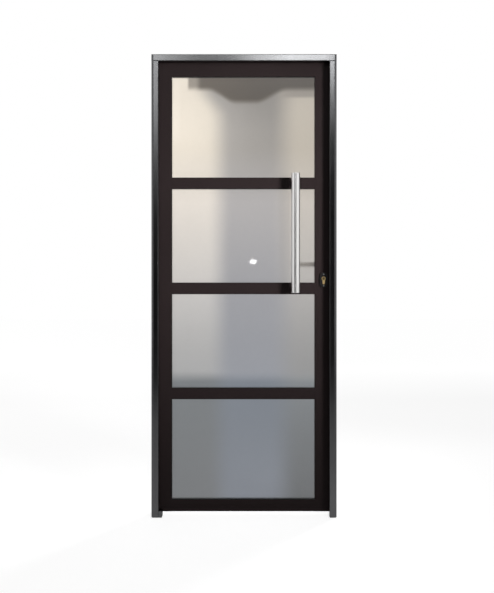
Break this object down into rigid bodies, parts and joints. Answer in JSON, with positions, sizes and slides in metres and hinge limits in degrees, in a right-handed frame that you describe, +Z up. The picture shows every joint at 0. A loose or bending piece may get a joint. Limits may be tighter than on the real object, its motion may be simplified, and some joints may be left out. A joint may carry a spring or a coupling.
{
  "type": "steel entrance door with frame",
  "caption": "Steel glazed entrance door leaf hung in its folded steel frame, with satin glass panes, a round pull bar outside, a lever handle inside and a mortice lock.",
  "frame": {"origin": "on the floor under the feet of the frame, in the middle of its width and of its depth", "axes": "+X across the door from the hinge side to the lock side, +Y from the outside to the inside, +Z up"},
  "size_m": [0.8, 0.176, 2],
  "materials": {
    "frame_grey": "smooth metallic grey paint, semi-gloss",
    "leaf_dark": "dark brown-black satin paint",
    "satin_glass": "satin etched glass with a glossy outside face",
    "stainless": "fine brushed stainless steel",
    "black_metal": "black satin coating",
    "brass": "satin brass",
    "zinc_steel": "zinc plated steel",
    "seal_rubber": "black rubber",
    "block_plastic": "black plastic"
  },
  "bodies": {
    "frame": {"hinge_jamb": "frame_grey", "lock_jamb": "frame_grey", "frame_head": "frame_grey", "tie_bar_stub": "frame_grey", "stop_seals": "seal_rubber", "fixing_sleeves": "zinc_steel", "strike_plate": "stainless", "strike_screws": "zinc_steel", "hinge_pins": "zinc_steel", "lower_hinge_jamb_plate": "zinc_steel", "middle_hinge_jamb_plate": "zinc_steel", "upper_hinge_jamb_plate": "zinc_steel", "hinge_jamb_screws": "zinc_steel"},
    "leaf": {"hinge_stile": "leaf_dark", "lock_stile": "leaf_dark", "top_rail": "leaf_dark", "bottom_rail": "leaf_dark", "lower_rail": "leaf_dark", "centre_rail": "leaf_dark", "upper_rail": "leaf_dark", "bottom_glass": "satin_glass", "lower_glass": "satin_glass", "upper_glass": "satin_glass", "top_glass": "satin_glass", "bottom_bead": "leaf_dark", "lower_bead": "leaf_dark", "upper_bead": "leaf_dark", "top_bead": "leaf_dark", "outer_gaskets": "seal_rubber", "inner_gaskets": "seal_rubber", "bead_screws": "zinc_steel", "setting_blocks": "block_plastic", "pull_bar": "stainless", "pull_bar_caps": "stainless", "pull_bar_posts": "stainless", "pull_bar_washers": "stainless", "pull_bar_bolts": "stainless", "lock_case": "zinc_steel", "lock_case_cover": "zinc_steel", "lock_faceplate": "stainless", "lever_rose": "stainless", "outside_escutcheon": "black_metal", "inside_escutcheon": "stainless", "cylinder_body": "brass", "cylinder_screw": "zinc_steel", "faceplate_screws": "zinc_steel", "escutcheon_screws": "zinc_steel", "lower_hinge_leaf_plate": "zinc_steel", "middle_hinge_leaf_plate": "zinc_steel", "upper_hinge_leaf_plate": "zinc_steel", "hinge_leaf_screws": "zinc_steel"},
    "lever": {"inside_lever": "stainless", "lever_spindle": "zinc_steel", "follower": "zinc_steel"},
    "latch": {"latch_bolt": "zinc_steel"},
    "deadbolt": {"deadbolt": "zinc_steel"},
    "key_core": {"outer_plug": "brass", "inner_plug": "brass", "cylinder_cam": "zinc_steel"}
  },
  "joints": [
    {"name": "leaf_swing", "type": "hinge", "parent": "frame", "child": "leaf", "pos_m": [-0.3845, 0.0575, 1], "axis": [0, 0, 1], "range_deg": [0, 95]},
    {"name": "lever_turn", "type": "hinge", "parent": "leaf", "child": "lever", "pos_m": [0.347, 0.06, 1.093], "axis": [0, -1, 0], "range_deg": [0, 45], "stiffness_Nm_per_rad": 1, "springref_deg": -34.38},
    {"name": "latch_slide", "type": "slide", "parent": "leaf", "child": "latch", "axis": [1, 0, 0], "range_m": [-0.012, 0]},
    {"name": "key_turn", "type": "hinge", "parent": "leaf", "child": "key_core", "pos_m": [0.347, 0.0205, 1.031], "axis": [0, 1, 0], "range_deg": [0, 360]},
    {"name": "deadbolt_slide", "type": "slide", "parent": "leaf", "child": "deadbolt", "axis": [1, 0, 0], "range_m": [0, 0.014]}
  ],
  "couplings": [
    {"joint": "latch_slide", "follows": "lever_turn", "m_per_rad": -0.015279},
    {"joint": "deadbolt_slide", "follows": "key_turn", "m_per_rad": 0.0022282}
  ]
}
